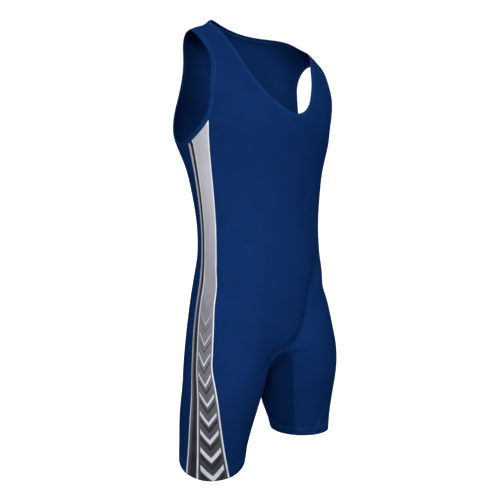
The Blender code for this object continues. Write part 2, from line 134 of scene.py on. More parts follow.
class StitchSettings(bpy.types.PropertyGroup):
    """Sizes of the stitches."""

    pitch: FloatProperty(
        name="Pitch", description="From one stitch to the next", default=0.0034, unit="LENGTH"
    )
    length: FloatProperty(name="Length", description="One stitch", default=0.0027, unit="LENGTH")
    thread: FloatProperty(name="Thread", description="The thread's width", default=0.0006, unit="LENGTH")
    sides: IntProperty(name="Sides", description="Sides of one stitch", default=6, min=4, max=12)
    band_row: FloatProperty(
        name="Band row", description="From a band's sewn edge to its stitches", default=0.0030, unit="LENGTH"
    )
    twin: FloatProperty(
        name="Twin rows", description="Between the two rows of a hem", default=0.0045, unit="LENGTH"
    )
    colour: StringProperty(name="Thread colour", description="sRGB hex", default="#10305c")


class StageSettings(bpy.types.PropertyGroup):
    """The camera, the lights and the floor."""

    eye: FloatVectorProperty(
        name="Camera", description="Where the camera stands", default=(-0.602, -0.799, -0.409), unit="LENGTH"
    )
    lens: FloatProperty(name="Lens", description="Focal length in mm", default=32.4)
    shift: FloatVectorProperty(name="Shift", description="Framing", size=2, default=(-0.028, -0.056))
    floor: FloatProperty(name="Floor", description="Height of the floor", default=-1.45, unit="LENGTH")
    radius: FloatProperty(
        name="Room radius", description="Radius of the pale room", default=2.6, unit="LENGTH"
    )
    key: FloatProperty(name="Key", description="Power of the main light in watts", default=8.5)
    top: FloatProperty(name="Top", description="Power of the overhead light in watts", default=5.6)
    rear: FloatProperty(name="Rear", description="Power of the light behind in watts", default=5.6)
    spread: FloatProperty(
        name="Spread", description="Angle of the lights' grids", default=math.radians(55), subtype="ANGLE"
    )
    daylight: FloatProperty(name="Daylight", description="Strength of the world", default=0.3)
    sky: StringProperty(name="Sky", description="sRGB hex of the daylight", default="#dfe8ff")
    pale: StringProperty(name="Paper", description="sRGB hex", default="#f4f4f5")
    glow: FloatProperty(name="Glow", description="Light through the paper", default=0.95)


# Colours and nodes


def linear(hex_colour, alpha=1.0):
    """An sRGB hex colour as linear values."""
    shades = [int(hex_colour[i : i + 2], 16) / 255 for i in (1, 3, 5)]
    return (*[c / 12.92 if c <= 0.04045 else ((c + 0.055) / 1.055) ** 2.4 for c in shades], alpha)


def add_node(tree, kind, settings=None, inputs=None):
    """A node with its settings. An input is a value, or a socket to link from."""
    node = tree.nodes.new(kind)
    for name, value in (settings or {}).items():
        setattr(node, name, value)
    for name, value in (inputs or {}).items():
        if isinstance(value, bpy.types.NodeSocket):
            tree.links.new(value, node.inputs[name])
        else:
            node.inputs[name].default_value = value
    return node


def new_material(name, colour, roughness, gloss, sheen=0.0):
    """A material, its tree and its shader, with the values that are the same all over set on it."""
    material = bpy.data.materials.new(name)
    material.use_nodes = True
    material.diffuse_color = linear(colour)
    shader = material.node_tree.nodes["Principled BSDF"]
    shader.inputs["Base Color"].default_value = linear(colour)
    shader.inputs["Roughness"].default_value = roughness
    shader.inputs["Specular IOR Level"].default_value = gloss
    shader.inputs["Sheen Weight"].default_value = sheen
    shader.inputs["Sheen Roughness"].default_value = 0.4
    shader.inputs["Sheen Tint"].default_value = linear("#2458a8")
    return material, material.node_tree, shader


def set_stops(ramp, stops):
    """Sets a ramp's rows of a position and a hex colour, and returns the socket that gives them."""
    elements = ramp.color_ramp.elements
    while len(elements) < len(stops):
        elements.new(0.5)
    for element, (position, colour) in zip(elements, stops):
        element.position = position
        element.color = linear(colour)
    return ramp.outputs["Color"]


def stripe(tree, value, start, end, soft):
    """1 where a value lies between start and end, with soft edges."""
    rises = {}
    for i, edge in enumerate((start, end)):
        ends = {"Value": value, "From Min": edge - soft, "From Max": edge + soft}
        rise = add_node(tree, "ShaderNodeMapRange", {"interpolation_type": "SMOOTHSTEP"}, ends)
        rises[i] = rise.outputs["Result"]
    return add_node(tree, MATH, {"operation": "SUBTRACT"}, rises).outputs[0]


def knit_relief(tree, shader, uv, strength):
    """A fine warp knit: wales up the cloth and courses across it, on a map in metres."""
    # A real wale is about 0.5 mm wide, too fine to show, so it is drawn 1.5 mm wide.
    wale, course = 0.0015, 0.0012
    parts = add_node(tree, "ShaderNodeSeparateXYZ", inputs={"Vector": uv})
    waves = []
    for axis, turns in (("X", math.pi / wale), ("Y", 2 * math.pi / course)):
        angle = add_node(tree, MATH, {"operation": "MULTIPLY"}, {0: parts.outputs[axis], 1: turns})
        waves.append(add_node(tree, MATH, {"operation": "SINE"}, {0: angle.outputs[0]}).outputs[0])
    ribs = add_node(tree, MATH, {"operation": "ABSOLUTE"}, {0: waves[0]})
    terms = {0: waves[1], 1: 0.3, 2: ribs.outputs[0]}
    height = add_node(tree, MATH, {"operation": "MULTIPLY_ADD"}, terms).outputs[0]
    bump = add_node(
        tree, "ShaderNodeBump", inputs={"Height": height, "Strength": strength, "Distance": 0.0003}
    )
    tree.links.new(bump.outputs["Normal"], shader.inputs["Normal"])


def uneven(tree, uv, coarse, fine):
    """A slow and a fine noise added up, around a half."""
    total = 0.0
    for scale, detail, share in ((coarse, 3.0, 0.65), (fine, 2.0, 0.35)):
        noise = add_node(tree, "ShaderNodeTexNoise", inputs={"Vector": uv, "Scale": scale, "Detail": detail})
        terms = {0: noise.outputs["Fac"], 1: share, 2: total}
        total = add_node(tree, MATH, {"operation": "MULTIPLY_ADD"}, terms).outputs[0]
    return total


def dyed_knit(name, colour, light, dark):
    """Nylon and elastane warp knit, dyed in the piece: smooth and faintly uneven, with a slight nap."""
    # The photo shows no highlight on it, so it has no gloss.
    material, tree, shader = new_material(name, colour, 0.50, 0.0, 0.06)
    uv = add_node(tree, "ShaderNodeUVMap", {"uv_map": "cut"}).outputs["UV"]
    ramp = add_node(tree, "ShaderNodeValToRGB", inputs={"Fac": uneven(tree, uv, 25.0, 900.0)})
    colours = set_stops(ramp, ((0.36, dark), (0.50, colour), (0.66, light)))
    tree.links.new(colours, shader.inputs["Base Color"])
    knit_relief(tree, shader, uv, 0.30)
    return material


def printed_knit(cloth):
    """The same knit in white, heat printed with flat inks that run from silver to charcoal."""
    material, tree, shader = new_material("heat_printed_knit", cloth.grey, 0.50, 0.06)
    uv = add_node(tree, "ShaderNodeUVMap", {"uv_map": "cut"}).outputs["UV"]
    place = add_node(tree, "ShaderNodeUVMap", {"uv_map": "print"}).outputs["UV"]
    parts = add_node(tree, "ShaderNodeSeparateXYZ", inputs={"Vector": place})
    across, up = parts.outputs["X"], parts.outputs["Y"]
    white, black = linear("#b0b0b6"), linear("#141519")
    # The ground is silver at the underarm and charcoal at the hem.
    share = add_node(tree, MATH, {"operation": "DIVIDE"}, {0: up, 1: PRINT_LENGTH})
    ramp = add_node(tree, "ShaderNodeValToRGB", inputs={"Fac": share.outputs[0]})
    stops = ((0.05, cloth.charcoal), (0.22, "#454549"), (0.45, cloth.grey), (0.85, cloth.silver))
    colour = set_stops(ramp, stops)
    # One dark line with a white one beside it runs the whole length, nearer the back seam, and a
    # white one lies along each seam.
    inks = [
        (stripe(tree, across, 0.73, 0.87, 0.012), black),
        (stripe(tree, across, 0.665, 0.70, 0.010), white),
        (stripe(tree, across, 0.955, 1.2, 0.010), white),
        (stripe(tree, across, -0.2, 0.04, 0.010), white),
    ]
    # A ladder of chevrons points down the thigh and thins out towards the waist.
    aside = add_node(tree, MATH, {"operation": "SUBTRACT"}, {0: across, 1: 0.35})
    lean = add_node(tree, MATH, {"operation": "ABSOLUTE"}, {0: aside.outputs[0]}).outputs[0]
    rung = add_node(tree, MATH, {"operation": "MULTIPLY_ADD"}, {0: lean, 1: -0.085, 2: up}).outputs[0]
    rungs = add_node(tree, MATH, {"operation": "DIVIDE"}, {0: rung, 1: RUNG_PITCH}).outputs[0]
    ends = {"Value": up, "From Min": 0.03, "From Max": 0.36, "To Min": 0.30, "To Max": 0.0}
    width = add_node(tree, "ShaderNodeMapRange", inputs=ends).outputs["Result"]
    inside = stripe(tree, across, 0.09, 0.61, 0.010)
    for shift, part, strength, ink in ((0.0, 1.0, 0.8, white), (0.36, 0.9, 0.9, black)):
        limit = add_node(tree, MATH, {"operation": "MULTIPLY"}, {0: width, 1: part}).outputs[0]
        bar = rungs
        steps = (
            ("ADD", shift),
            ("FRACT", 0.0),
            ("LESS_THAN", limit),
            ("MULTIPLY", inside),
            ("MULTIPLY", strength),
        )
        for operation, other in steps:
            bar = add_node(tree, MATH, {"operation": operation}, {0: bar, 1: other}).outputs[0]
        inks.append((bar, ink))
    # The ink sits a little unevenly in the loops of the knit.
    grain = uneven(tree, uv, 30.0, 900.0)
    ends = {"Value": grain, "From Min": 0.35, "From Max": 0.65, "To Max": 0.06}
    thin = add_node(tree, "ShaderNodeMapRange", {"interpolation_type": "SMOOTHSTEP"}, ends)
    inks.append((thin.outputs["Result"], linear("#77777c")))
    for share, ink in inks:
        layers = {0: share, 6: colour, 7: ink}
        colour = add_node(tree, "ShaderNodeMix", {"data_type": "RGBA"}, layers).outputs[2]
    tree.links.new(colour, shader.inputs["Base Color"])
    knit_relief(tree, shader, uv, 0.25)
    return material


def undyed_knit():
    """The white back of the printed cloth, which heat printing doesn't reach."""
    material, tree, shader = new_material("undyed_knit_back", "#c9c9cd", 0.6, 0.10)
    uv = add_node(tree, "ShaderNodeUVMap", {"uv_map": "cut"}).outputs["UV"]
    ramp = add_node(tree, "ShaderNodeValToRGB", inputs={"Fac": uneven(tree, uv, 20.0, 800.0)})
    colours = set_stops(ramp, ((0.35, "#c2c2c7"), (0.65, "#cfcfd3")))
    tree.links.new(colours, shader.inputs["Base Color"])
    knit_relief(tree, shader, uv, 0.25)
    return material


def sewing_thread(colour):
    """Textured polyester thread, a little lighter than the cloth that it holds."""
    material, tree, shader = new_material("polyester_thread", colour, 0.5, 0.15, 0.05)
    place = add_node(tree, "ShaderNodeTexCoord").outputs["Object"]
    noise = add_node(tree, "ShaderNodeTexNoise", inputs={"Vector": place, "Scale": 2500.0})
    twist = noise.outputs["Fac"]
    layers = {0: twist, 6: linear(colour), 7: linear("#183f70")}
    lighter = add_node(tree, "ShaderNodeMix", {"data_type": "RGBA"}, layers)
    tree.links.new(lighter.outputs[2], shader.inputs["Base Color"])
    bump = add_node(
        tree, "ShaderNodeBump", inputs={"Height": twist, "Strength": 0.3, "Distance": 0.0001}
    )
    tree.links.new(bump.outputs["Normal"], shader.inputs["Normal"])
    return material


def background_paper(colour, glow):
    """Matt paper, as a studio rolls out behind a product, lit from behind as well."""
    material, _, shader = new_material("background_paper", colour, 0.9, 0.0)
    shader.inputs["Emission Color"].default_value = linear(colour)
    shader.inputs["Emission Strength"].default_value = glow
    return material


# Folds that the photo shows, along its pixels, by the nodes that they run over. Each row is a line,
# the distance over which the fold fades, and its depth at the middle: above 0 a trough, below 0 a ridge.
SEEN_FOLDS = {
    ("front", "crotch_panel"): (
        # the groin: the belly turns in over the thigh, down to the crotch seam
        (((317, 264), (316, 290), (313, 312), (307, 332)), 0.0250, 0.0100),
        (((314, 284), (311, 308), (306, 328), (298, 341), (287, 349)), 0.0120, 0.0088),
        (((317, 266), (319, 288), (320, 308)), 0.0260, 0.0050),
        # the short ridge where the four seams meet
        (((283, 352), (294, 349), (306, 347)), 0.0065, -0.0034),
        # the near thigh turns in towards the crotch
        (((262, 380), (267, 366), (274, 355), (281, 350)), 0.0085, 0.0030),
    ),
    ("front",): (
        (((262, 352), (270, 350), (281, 349)), 0.0090, 0.0014),
        (((294, 353), (303, 352), (313, 351)), 0.0055, 0.0009),
        # pulls that run up from the far hem's outer side
        (((311, 432), (317, 420), (326, 404)), 0.0042, 0.0026),
        (((315, 433), (321, 421), (328, 406)), 0.0038, -0.0030),
        (((320, 431), (325, 421), (329, 411)), 0.0034, 0.0024),
        (((306, 433), (311, 423), (318, 410)), 0.0046, -0.0014),
        (((324, 428), (327, 420), (329, 415)), 0.0028, -0.0018),
        # the same, weaker, on the near thigh
        (((231, 471), (235, 460), (240, 446)), 0.0060, 0.0009),
        (((236, 466), (239, 455), (243, 443)), 0.0045, -0.0007),
        # soft hollows: below the near armhole, above the near hip and under the far chest
        (((212, 128), (218, 142), (222, 156)), 0.018, 0.0014),
        (((224, 262), (229, 280), (232, 298)), 0.019, 0.0018),
        (((312, 176), (306, 196), (304, 214)), 0.018, 0.0012),
        (((240, 182), (262, 190), (286, 186)), 0.016, 0.0008),
        # short pulls at the near armhole and from the neck's point
        (((208, 118), (216, 121), (226, 126)), 0.0050, -0.0007),
        (((207, 126), (215, 131), (223, 138)), 0.0050, 0.0007),
        (((300, 116), (294, 128), (290, 142)), 0.0080, 0.0006),
    ),
}

# Like ones on the sides that the photo doesn't show, placed on the garment.
HIDDEN_FOLDS = {
    ("front", "crotch_panel"): (
        # the near leg's inner seam, pulled in by the stretched panel behind it
        (
            (
                (-0.030, -0.064, -0.712),
                (-0.040, -0.054, -0.770),
                (-0.050, -0.043, -0.820),
                (-0.062, -0.032, -0.875),
            ),
            0.0220,
            0.0090,
        ),
    ),
    ("crotch_panel", "back"): (
        # the far leg's inner seam stands out a little below the crotch
        (((0.042, 0.063, -0.795), (0.049, 0.065, -0.832), (0.056, 0.065, -0.858)), 0.0160, -0.0060),
    ),
    ("front",): (
        (((-0.014, -0.098, -0.664), (-0.040, -0.100, -0.655), (-0.070, -0.094, -0.630)), 0.0080, 0.0012),
        (((0.148, -0.078, -0.200), (0.160, -0.062, -0.190)), 0.0055, -0.0007),
    ),
    ("back",): (
        # under the seat, at both legs
        (((-0.030, 0.108, -0.704), (-0.064, 0.100, -0.716), (-0.104, 0.090, -0.712)), 0.0080, 0.0017),
        (((-0.044, 0.102, -0.722), (-0.090, 0.094, -0.730)), 0.0060, -0.0010),
        (((0.026, 0.108, -0.702), (0.070, 0.100, -0.718), (0.112, 0.086, -0.708)), 0.0080, 0.0018),
        (((0.046, 0.102, -0.724), (0.084, 0.096, -0.734)), 0.0065, -0.0010),
        # up the middle of the seat
        (((0.000, 0.110, -0.690), (0.002, 0.118, -0.650), (0.001, 0.124, -0.610)), 0.0100, 0.0016),
        # across the small of the back
        (((-0.104, 0.080, -0.446), (-0.060, 0.100, -0.462), (-0.004, 0.108, -0.466)), 0.0120, 0.0013),
        (((0.112, 0.076, -0.430), (0.068, 0.098, -0.448), (0.018, 0.108, -0.450)), 0.0110, 0.0012),
        (((-0.058, 0.102, -0.490), (0.008, 0.108, -0.498), (0.070, 0.100, -0.488)), 0.0100, -0.0007),
        # from the underarms towards the middle
        (((-0.168, 0.092, -0.258), (-0.140, 0.116, -0.272), (-0.112, 0.128, -0.296)), 0.0080, 0.0012),
        (((-0.164, 0.088, -0.284), (-0.134, 0.112, -0.306)), 0.0070, -0.0008),
        (((0.168, 0.092, -0.254), (0.138, 0.116, -0.276), (0.104, 0.130, -0.300)), 0.0085, 0.0013),
        # pulls at the hems
        (((0.158, 0.060, -0.905), (0.166, 0.056, -0.884), (0.178, 0.046, -0.858)), 0.0045, -0.0011),
        (((0.144, 0.074, -0.905), (0.152, 0.074, -0.868)), 0.0050, 0.0009),
        (((-0.166, 0.056, -0.905), (-0.176, 0.048, -0.876), (-0.184, 0.038, -0.856)), 0.0050, -0.0010),
        (((-0.138, 0.078, -0.905), (-0.146, 0.078, -0.862)), 0.0050, 0.0009),
    ),
    ("crotch_panel",): (
        (((0.000, -0.074, -0.690), (0.002, 0.000, -0.694), (0.000, 0.080, -0.698)), 0.0060, 0.0012),
        (((0.048, -0.030, -0.740), (0.054, 0.000, -0.770), (0.062, 0.016, -0.810)), 0.0080, 0.0011),
        (((-0.048, -0.024, -0.735), (-0.056, 0.006, -0.770), (-0.066, 0.020, -0.805)), 0.0080, 0.0010),
    ),
    ("side_panel_left",): (
        (((0.176, -0.016, -0.900), (0.185, 0.000, -0.872)), 0.0036, -0.0010),
        (((0.181, -0.004, -0.902), (0.188, 0.010, -0.876)), 0.0034, 0.0010),
    ),
}


# Sheets


def islands(form):
    """The sets of faces that hang together."""
    left = set(form.faces)
    while left:
        found, waiting = set(), [left.pop()]
        while waiting:
            face = waiting.pop()
            found.add(face)
            for other in {near for edge in face.edges for near in edge.link_faces} & left:
                left.discard(other)
                waiting.append(other)
        yield found


def outward_area(faces):
    """The area of faces that look away from the body, less that of faces that look towards it."""
    total = 0.0
    for face in faces:
        centre = face.calc_center_median()
        middle = Vector((math.copysign(LEG_X, centre.x) if centre.z < -0.7 else 0.0, 0.02, centre.z))
        if centre.z > -0.03:
            middle.z = -0.15
        total += math.copysign(face.calc_area(), face.normal.dot(centre - middle))
    return total


def outer_face(node):
    """The outer side of a CAD node's wall, in quads where its triangles pair up."""
    form = bmesh.new()
    form.from_mesh(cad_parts[node].data)
    bmesh.ops.remove_doubles(form, verts=form.verts, dist=WELD)
    rims = [edge for edge in form.edges if edge.calc_face_angle(0.0) > RIM_ANGLE]
    bmesh.ops.split_edges(form, edges=rims)
    kept = max(islands(form), key=outward_area)
    bmesh.ops.delete(form, geom=[face for face in form.faces if face not in kept], context="FACES")
    bmesh.ops.remove_doubles(form, verts=form.verts, dist=WELD)
    bmesh.ops.join_triangles(
        form,
        faces=form.faces,
        angle_face_threshold=math.radians(40),
        angle_shape_threshold=math.radians(60),
    )
    return form


def edge_loops(form):
    """A sheet's edges, each as its vertices in order."""
    # A dict keeps the mesh's own order, so each run starts a loop at the same place.
    left = dict.fromkeys(edge for edge in form.edges if edge.is_boundary)
    while left:
        edge = next(iter(left))
        left.pop(edge)
        loop = list(edge.verts)
        while loop[-1] is not loop[0]:
            following = next(near for near in loop[-1].link_edges if near in left)
            left.pop(following)
            loop.append(following.other_vert(loop[-1]))
        yield loop[:-1]


def keep_corners(form):
    """Marks a sheet's corners, so that smoothing leaves them."""
    crease = form.verts.layers.float.new("crease_vert")
    for loop in edge_loops(form):
        for before, vertex, after in zip(loop[-1:] + loop[:-1], loop, loop[1:] + loop[:1]):
            turn = (vertex.co - before.co).angle(after.co - vertex.co, 0.0)
            vertex[crease] = 1.0 if turn > CORNER_ANGLE else 0.0


def add_piece(name, form, *materials):
    """A new object from a form, which is freed."""
    mesh = bpy.data.meshes.new(name)
    form.to_mesh(mesh)
    form.free()
    for material in materials:
        mesh.materials.append(material)
    piece = bpy.data.objects.new(name, mesh)
    bpy.context.scene.collection.objects.link(piece)
    return piece


def unwrap(piece):
    """A UV map named cut: the cloth laid flat, in metres, with its length upwards."""
    mesh = piece.data
    mesh.uv_layers.active = mesh.uv_layers.new(name="cut")
    bpy.context.view_layer.objects.active = piece
    piece.select_set(True)
    bpy.ops.object.mode_set(mode="EDIT")
    bpy.ops.mesh.select_all(action="SELECT")
    bpy.ops.uv.unwrap(method="ANGLE_BASED", margin=0.0)
    bpy.ops.object.mode_set(mode="OBJECT")
    piece.select_set(False)
    map_area = 0.0
    places = mesh.uv_layers["cut"].data
    for face in mesh.polygons:
        corners = [places[i].uv.copy() for i in face.loop_indices]
        map_area += abs(sum(a.cross(b) for a, b in zip(corners, corners[1:] + corners[:1]))) / 2
    scale = math.sqrt(sum(face.area for face in mesh.polygons) / map_area)
    heights = [mesh.vertices[loop.vertex_index].co.z for loop in mesh.loops]
    middle = sum((place.uv for place in places), Vector((0.0, 0.0))) / len(places)
    mean = sum(heights) / len(heights)
    rise = sum(((place.uv - middle) * (z - mean) for place, z in zip(places, heights)), Vector((0.0, 0.0)))
    turn = Matrix.Rotation(math.pi / 2 - math.atan2(rise.y, rise.x), 2)
    for place in places:
        place.uv = turn @ ((place.uv - middle) * scale)


def subdivided(piece, levels):
    """Replaces a piece's mesh by its subdivided one."""
    rounder = piece.modifiers.new("round", "SUBSURF")
    rounder.levels = levels
    rounder.render_levels = levels
    rounder.boundary_smooth = "PRESERVE_CORNERS"
    graph = bpy.context.evaluated_depsgraph_get()
    mesh = bpy.data.meshes.new_from_object(piece.evaluated_get(graph), depsgraph=graph)
    old, name = piece.data, piece.data.name
    piece.modifiers.clear()
    piece.data = mesh
    bpy.data.meshes.remove(old)
    mesh.name = name
    mesh.shade_smooth()


def cloth_sheet(node, edge_row, *materials):
    """A smooth sheet on the outer side of a node, with a row of faces of its own along its edges."""
    form = outer_face(node)
    bmesh.ops.inset_region(
        form, faces=form.faces, thickness=edge_row, use_boundary=True, use_even_offset=True
    )
    keep_corners(form)
    piece = add_piece(f"{node}_cloth", form, *materials)
    unwrap(piece)
    subdivided(piece, 2)
    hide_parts(node)
    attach(piece, "root")
    width, length, area = CUTS[node]
    return piece


def sheet_of(node):
    """The sheet made for a node. It fails with the node's name if there is none yet."""
    return bpy.data.objects[f"{node}_cloth"]


def opened(piece):
    form = bmesh.new()
    form.from_mesh(piece.data)
    form.normal_update()
    return form


def closed(form, piece):
    form.to_mesh(piece.data)
    form.free()


class Neighbours:
    """Finds the other nodes next to a point of a sheet."""

    def __init__(self):
        self.trees = {}
        for node in PANELS + BINDINGS:
            form = opened(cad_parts[node])
            self.trees[node] = BVHTree.FromBMesh(form)
            form.free()

    def around(self, node, point, reach):
        """The other nodes within reach of a point, nearest first."""
        hits = ((tree.find_nearest(point, reach), other) for other, tree in self.trees.items())
        near = [(hit[3], other) for hit, other in hits if hit[0] is not None and other != node]
        return [other for _, other in sorted(near)]

    def sewn_to(self, node, loop):
        """What each vertex of an edge is sewn to: nodes, nearest first, or none where it is free."""
        near = [self.around(node, vertex.co, SEAM_REACH) for vertex in loop]
        for i, vertex in enumerate(loop):
            if not near[i] and near[i - 1] and near[(i + 1) % len(loop)]:
                near[i] = self.around(node, vertex.co, 3 * SEAM_REACH)
        return near


def tree_of(points):
    tree = KDTree(len(points))
    for i, point in enumerate(points):
        tree.insert(point, i)
    tree.balance()
    return tree


def fade(distance, reach):
    """1 at nothing and 0 from reach on, with a smooth fall."""
    t = min(max(distance / reach, 0.0), 1.0)
    return 1 - t * t * (3 - 2 * t)


def nearest(tree, point):
    """How far a point is from a tree's points, or far off if it has none."""
    found = tree.find(point)[2]
    return 1.0 if found is None else found


def edge_kinds(form, node, neighbours):
    """A sheet's edge points at seams, and those at free edges."""
    sewn, free = [], []
    for loop in edge_loops(form):
        for vertex, others in zip(loop, neighbours.sewn_to(node, loop)):
            (sewn if others else free).append(vertex.co.copy())
    return sewn, free


def refine_hem(piece, node, neighbours, depth):
    """Halves the faces near a leg's free edge, for its small gathers."""
    form = opened(piece)
    free = tree_of([point for point in edge_kinds(form, node, neighbours)[1] if point.z < LEG_TOP])
    near = {vertex for vertex in form.verts if nearest(free, vertex.co) < depth}
    edges = [edge for edge in form.edges if near.issuperset(edge.verts)]
    bmesh.ops.subdivide_edges(form, edges=edges, cuts=1, use_grid_fill=True)
    closed(form, piece)


def map_print(piece, node, neighbours):
    """A UV map named print: 0 at the front seam to 1 at the back seam, and metres above the hem."""
    form = opened(piece)
    seams = {"front": [], "back": []}
    lowest = min(vertex.co.z for vertex in form.verts)
    for loop in edge_loops(form):
        for vertex, others in zip(loop, neighbours.sewn_to(node, loop)):
            for other in others[:1]:
                if other in seams:
                    seams[other].append(vertex.co.copy())
    ahead, behind = tree_of(seams["front"]), tree_of(seams["back"])
    layer = form.loops.layers.uv.new("print")
    for face in form.faces:
        for corner in face.loops:
            place = corner.vert.co
            start, end = nearest(ahead, place), nearest(behind, place)
            corner[layer].uv = (start / (start + end), place.z - lowest)
    closed(form, piece)


# Shape


def border_trees():
    """Close points along every sheet's edges, by node."""
    trees = {}
    for node in PANELS + BINDINGS:
        form = opened(sheet_of(node))
        points = []
        for loop in edge_loops(form):
            for start, end in zip(loop, loop[1:] + loop[:1]):
                points += [start.co.lerp(end.co, k / 4) for k in range(4)]
        trees[node] = tree_of(points)
        form.free()
    return trees


def sewn_table(node, neighbours):
    """What a sheet's edge is sewn to, by vertex. The sheet's edge is marked 1 where it is sewn."""
    piece = sheet_of(node)
    form = opened(piece)
    mark = form.verts.layers.int.new("sewn")
    table = {}
    for loop in edge_loops(form):
        for vertex, others in zip(loop, neighbours.sewn_to(node, loop)):
            vertex[mark] = 1 if others else 0
            table[vertex.index] = others
    closed(form, piece)
    return table


def outwards(vertex):
    """The way from a sheet's inside over its edge, at a vertex of the edge."""
    middle = sum((face.calc_center_median() for face in vertex.link_faces), Vector())
    away = vertex.co - middle / len(vertex.link_faces)
    return (away - away.project(vertex.normal)).normalized()


def draw_together(node, borders, table):
    """Moves a sheet's sewn edges halfway to the edges that they are sewn to, and a hair past them."""
    piece = sheet_of(node)
    form = opened(piece)
    form.verts.ensure_lookup_table()
    at, moves = [], []
    for i, others in table.items():
        place = form.verts[i].co.copy()
        gaps = [borders[other].find(place)[0] - place for other in others]
        move = sum((gap for gap in gaps if gap.length < SEAM_PULL), Vector()) / (len(gaps) + 1)
        at.append(place)
        moves.append(move + outwards(form.verts[i]) * (SEAM_OVERLAP if others else 0.0))
    tree = tree_of(at)
    for vertex in form.verts:
        _, i, distance = tree.find(vertex.co)
        vertex.co += moves[i] * fade(distance, SEAM_PULL)
    closed(form, piece)


def draw_all_together(tables):
    borders = border_trees()
    for node, table in tables.items():
        draw_together(node, borders, table)


def pressed(point, folds):
    """How far the folds move a point inwards."""
    depth = 0.0
    for line, width, most in folds:
        lengths = [(end - start).length for start, end in zip(line, line[1:])]
        best, along, done = 1.0, 0.0, 0.0
        for start, end, length in zip(line, line[1:], lengths):
            at = max(0.0, min(1.0, (point - start).dot(end - start) / length**2))
            apart = (point - start.lerp(end, at)).length
            if apart < best:
                best, along = apart, (done + at * length) / sum(lengths)
            done += length
        if best < 4 * width:
            depth += most * math.sin(math.pi * (0.15 + 0.70 * along)) * math.exp(-((best / width) ** 2))
    return depth


def gathered(point, hem, depth):
    """Small uneven puckers across a hem, strongest at the front of the inner thigh."""
    # There are 47 puckers round a leg, of slowly changing width and depth.
    turn = math.atan2(point.y - LEG_Y, math.copysign(1.0, point.x) * point.x - LEG_X)
    wave = math.sin(47 * turn + 1.9 * math.sin(7 * turn)) * (0.6 + 0.4 * math.sin(11 * turn + 2.0))
    inner = math.exp(-(((turn + 2.5) / 0.45) ** 2)) if point.x > 0 else 0.0
    return (0.00022 + 0.0013 * inner) * wave * fade(abs(hem - 0.6 * depth), 0.75 * depth)


def photo_point(stage, pixel, trees):
    """Where the line of sight through a pixel of the 500 x 500 photo first meets the frame."""
    ahead = Vector((-stage.eye[0], -stage.eye[1], 0.0)).normalized()
    right = ahead.cross(Vector((0.0, 0.0, 1.0)))
    focus = stage.lens / SENSOR * PHOTO_SIZE
    across = (pixel[0] + (stage.shift[0] - 0.5) * PHOTO_SIZE) / focus
    down = (pixel[1] - (stage.shift[1] + 0.5) * PHOTO_SIZE) / focus
    sight = (ahead + right * across - Vector((0.0, 0.0, down))).normalized()
    hits = [tree.ray_cast(Vector(stage.eye), sight) for tree in trees]
    return min((hit for hit in hits if hit[0] is not None), key=lambda hit: hit[3])[0]


def fold_table(node, stage, neighbours):
    """A node's folds, seen and hidden, as lines of points."""
    trees = list(neighbours.trees.values())
    table = []
    for nodes, rows in SEEN_FOLDS.items():
        if node in nodes:
            table += [([photo_point(stage, pixel, trees) for pixel in row[0]], *row[1:]) for row in rows]
    for nodes, rows in HIDDEN_FOLDS.items():
        if node in nodes:
            table += [([Vector(point) for point in row[0]], *row[1:]) for row in rows]
    return table


def shape_panel(node, cloth, folds, neighbours):
    """Sinks a panel's seams, presses its folds in, and gathers its hems."""
    piece = sheet_of(node)
    piece.vertex_groups.new(name="layers")
    form = opened(piece)
    layers = form.verts.layers.deform.verify()
    sewn, free = [tree_of(points) for points in edge_kinds(form, node, neighbours)]
    rows = []
    for vertex in form.verts:
        hem = nearest(free, vertex.co) if vertex.co.z < LEG_TOP else 1.0
        depth = cloth.groove_depth * fade(nearest(sewn, vertex.co), cloth.groove_width)
        depth += pressed(vertex.co, folds) * cloth.fold_share
        depth += gathered(vertex.co, hem, cloth.hem_depth)
        # The cloth dips by 0.2 mm along the line where the turned-up part ends.
        depth += 0.0002 * math.exp(-(((hem - cloth.hem_depth) / 0.0015) ** 2))
        rows.append((vertex, vertex.normal * -depth, 1.0 if hem < cloth.hem_depth else 0.5))
    for vertex, move, layer in rows:
        vertex.co += move
        vertex[layers][0] = layer
    closed(form, piece)


def shape_band(node, cloth, row, neighbours):
    """Crowns a band, rolls its free edge in, and sinks it at its sewn edge and along its stitches."""
    piece = sheet_of(node)
    form = opened(piece)
    sewn, free = [tree_of(points) for points in edge_kinds(form, node, neighbours)]
    rows = []
    for vertex in form.verts:
        inner, outer = nearest(sewn, vertex.co), nearest(free, vertex.co)
        # A flat crown, less a dip at each edge and a groove along the stitches.
        rise = cloth.crown * (1 - (2 * inner / (inner + outer) - 1) ** 4)
        rise -= cloth.groove_depth * fade(inner, 0.0026) + 0.0009 * fade(outer, 0.0022)
        rise -= 0.0005 * math.exp(-(((inner - row) / 0.0012) ** 2))
        rows.append((vertex, vertex.normal * rise))
    for vertex, move in rows:
        vertex.co += move
    closed(form, piece)


def give_wall(piece, thickness, group=""):
    """Thickness inwards from the outer face, and a small round along its edges."""
    wall = piece.modifiers.new("wall", "SOLIDIFY")
    wall.thickness = thickness
    wall.offset = -1.0
    wall.vertex_group = group
    if len(piece.data.materials) > 1:
        wall.material_offset = 1
    soften = piece.modifiers.new("soft_edges", "BEVEL")
    soften.limit_method = "ANGLE"
    soften.angle_limit = math.radians(50)
    soften.width = EDGE_ROUND
    soften.segments = 2
    soften.profile = 0.5


# Stitches


